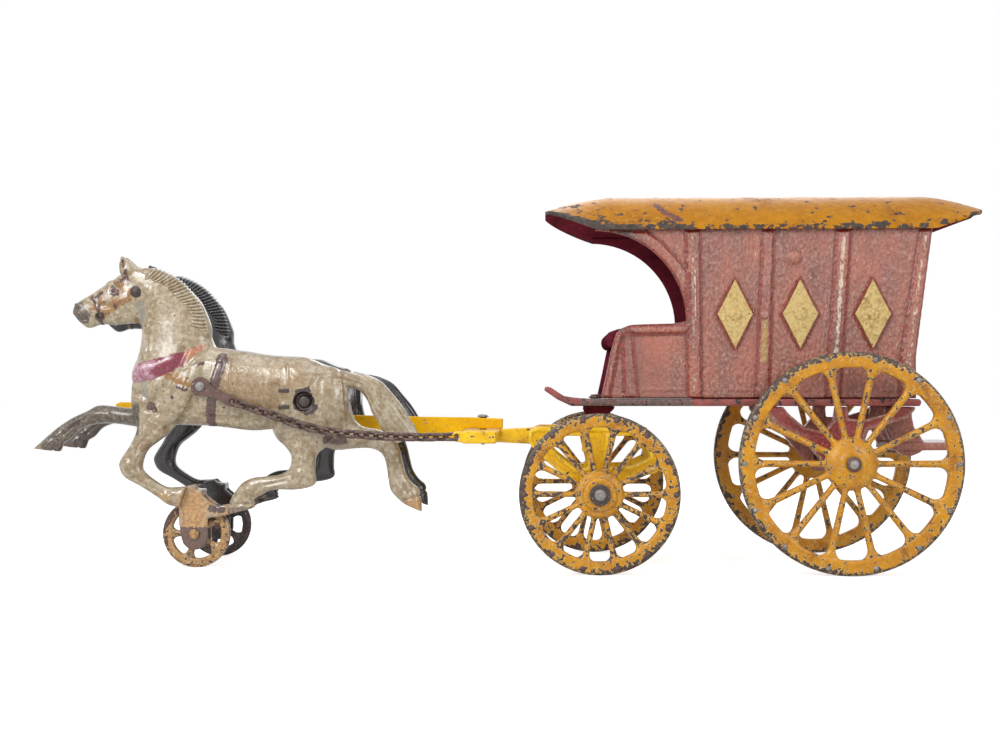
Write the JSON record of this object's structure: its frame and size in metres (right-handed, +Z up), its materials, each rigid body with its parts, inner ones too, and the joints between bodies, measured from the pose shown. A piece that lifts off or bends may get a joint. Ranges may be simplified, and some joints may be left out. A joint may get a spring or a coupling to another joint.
{
  "type": "horse-drawn ice wagon toy",
  "caption": "Cast-iron toy ice wagon with a hull-shaped roof, spoked wheels and a steering front truck, drawn by two galloping horses on small wheels.",
  "frame": {"origin": "on the ground under the middle of the whole toy, at the bottom centre of its box", "axes": "+X to the rear of the wagon, so the horses face -X; +Y to the right of the wagon, so its left side, which the picture shows, is at -Y; +Z up"},
  "size_m": [0.3955, 0.0992, 0.155],
  "materials": {
    "body_paint": "rubbed brick-red paint over cast iron",
    "roof_paint": "chipped mustard paint over cast iron",
    "floor_paint": "dark brown-maroon paint, worn at the edge",
    "inside_paint": "dark maroon paint",
    "wheel_paint": "chipped orange-yellow paint over cast iron",
    "truck_paint": "yellow paint over cast iron",
    "pole_paint": "bright yellow paint",
    "ivory_paint": "aged glossy ivory paint with brown chips",
    "black_paint": "glossy black paint",
    "gilt_paint": "pale gold paint",
    "strap_iron": "brown worn iron",
    "chain_iron": "dark brown wire",
    "rusty_wheel": "rusty iron with traces of cream paint",
    "dark_wheel": "dark iron",
    "bare_iron": "dark worn iron",
    "bare_steel": "bright worn steel"
  },
  "bodies": {
    "wagon": {"left_side": "body_paint", "right_side": "body_paint", "roof": "roof_paint", "floor": "floor_paint", "driver_seat": "inside_paint", "tail_step": "body_paint", "front_bolster": "body_paint", "body_tie_rivet": "bare_steel", "rear_axle": "bare_iron", "kingpin": "bare_iron", "left_rear_spring": "body_paint", "right_rear_spring": "body_paint", "left_front_ornament": "gilt_paint", "left_middle_ornament": "gilt_paint", "left_rear_ornament": "gilt_paint", "right_front_ornament": "gilt_paint", "right_middle_ornament": "gilt_paint", "right_rear_ornament": "gilt_paint"},
    "front_truck": {"truck_casting": "truck_paint", "front_axle": "bare_iron", "pole": "pole_paint", "pole_rivet": "bare_steel", "left_horse": "ivory_paint", "right_horse": "black_paint", "front_team_pin": "bare_iron", "rear_team_pin": "bare_iron", "left_front_washer": "bare_iron", "left_team_axle": "bare_iron", "left_tug_strap": "strap_iron", "left_strap_rivet": "bare_steel", "left_trace_chain": "chain_iron", "right_front_washer": "bare_iron", "right_team_axle": "bare_iron", "right_tug_strap": "strap_iron", "right_strap_rivet": "bare_steel", "right_trace_chain": "chain_iron"},
    "left_rear_wheel_body": {"left_rear_wheel": "wheel_paint"},
    "left_front_wheel_body": {"left_front_wheel": "wheel_paint"},
    "left_team_wheel_body": {"left_team_wheel": "rusty_wheel"},
    "right_rear_wheel_body": {"right_rear_wheel": "wheel_paint"},
    "right_front_wheel_body": {"right_front_wheel": "wheel_paint"},
    "right_team_wheel_body": {"right_team_wheel": "dark_wheel"}
  },
  "joints": [
    {"name": "truck_steer", "type": "hinge", "parent": "wagon", "child": "front_truck", "pos_m": [0.038, 0, 0.0585], "axis": [0, 0, 1], "range_deg": [-105, 105]},
    {"name": "left_rear_wheel_spin", "type": "hinge", "parent": "wagon", "child": "left_rear_wheel_body", "pos_m": [0.137, -0.042, 0.0442], "axis": [0, 1, 0], "continuous": true},
    {"name": "left_front_wheel_spin", "type": "hinge", "parent": "front_truck", "child": "left_front_wheel_body", "pos_m": [0.038, -0.042, 0.032], "axis": [0, 1, 0], "continuous": true},
    {"name": "left_team_wheel_spin", "type": "hinge", "parent": "front_truck", "child": "left_team_wheel_body", "pos_m": [-0.1278, -0.021, 0.014], "axis": [0, 1, 0], "continuous": true},
    {"name": "right_rear_wheel_spin", "type": "hinge", "parent": "wagon", "child": "right_rear_wheel_body", "pos_m": [0.137, 0.042, 0.0442], "axis": [0, 1, 0], "continuous": true},
    {"name": "right_front_wheel_spin", "type": "hinge", "parent": "front_truck", "child": "right_front_wheel_body", "pos_m": [0.038, 0.042, 0.032], "axis": [0, 1, 0], "continuous": true},
    {"name": "right_team_wheel_spin", "type": "hinge", "parent": "front_truck", "child": "right_team_wheel_body", "pos_m": [-0.1278, 0.021, 0.014], "axis": [0, 1, 0], "continuous": true}
  ]
}
